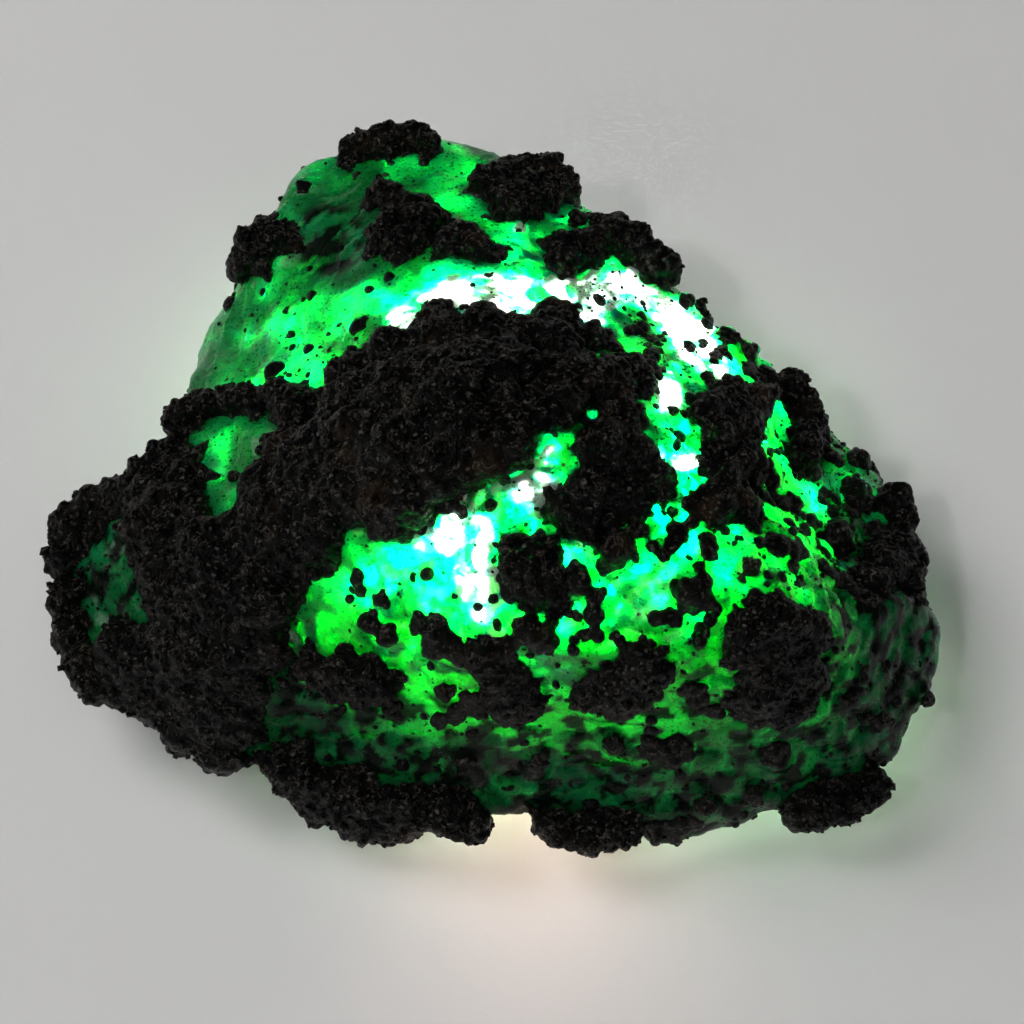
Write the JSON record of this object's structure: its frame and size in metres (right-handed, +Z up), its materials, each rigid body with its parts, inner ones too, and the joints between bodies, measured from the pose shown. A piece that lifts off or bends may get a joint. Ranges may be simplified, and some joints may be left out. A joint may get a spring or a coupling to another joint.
{
  "type": "rough emerald",
  "caption": "Uncut emerald: a cloudy green crystal mass half covered by a knobbly crust of near-black mica schist, lying flat on worn lumps of the crust.",
  "frame": {"origin": "middle of the stone's box, on the table it lies on", "axes": "+X towards the stone's right as pictured, +Y away from the viewer, +Z up from the table"},
  "size_m": [0.045, 0.0414, 0.0211],
  "materials": {
    "emerald": "waxy to glassy broken crystal, cloudy",
    "mica_schist": "rough, grainy, with small mica glints"
  },
  "bodies": {
    "root": {"emerald": "emerald", "crust_main": "mica_schist", "crust_crown": "mica_schist", "crust_left_notch": "mica_schist", "crust_upper_ledge": "mica_schist", "crust_upper_step": "mica_schist", "crust_north_knob": "mica_schist", "crust_north_east": "mica_schist", "crust_east_rim": "mica_schist", "crust_east_knob": "mica_schist", "crust_right_rim": "mica_schist", "crust_right_face": "mica_schist", "crust_middle": "mica_schist", "crust_front_bar": "mica_schist", "crust_front_left": "mica_schist", "crust_front_right": "mica_schist", "crust_lower_left": "mica_schist", "crust_lower_middle": "mica_schist", "crust_lower_right": "mica_schist", "crust_back_left": "mica_schist", "crust_back_middle": "mica_schist", "crust_back_right": "mica_schist", "crust_left_side": "mica_schist", "crust_right_side": "mica_schist", "crust_belly": "mica_schist", "crust_foot_left": "mica_schist", "crust_foot_front": "mica_schist", "crust_foot_right": "mica_schist", "crust_foot_back": "mica_schist"}
  },
  "joints": []
}
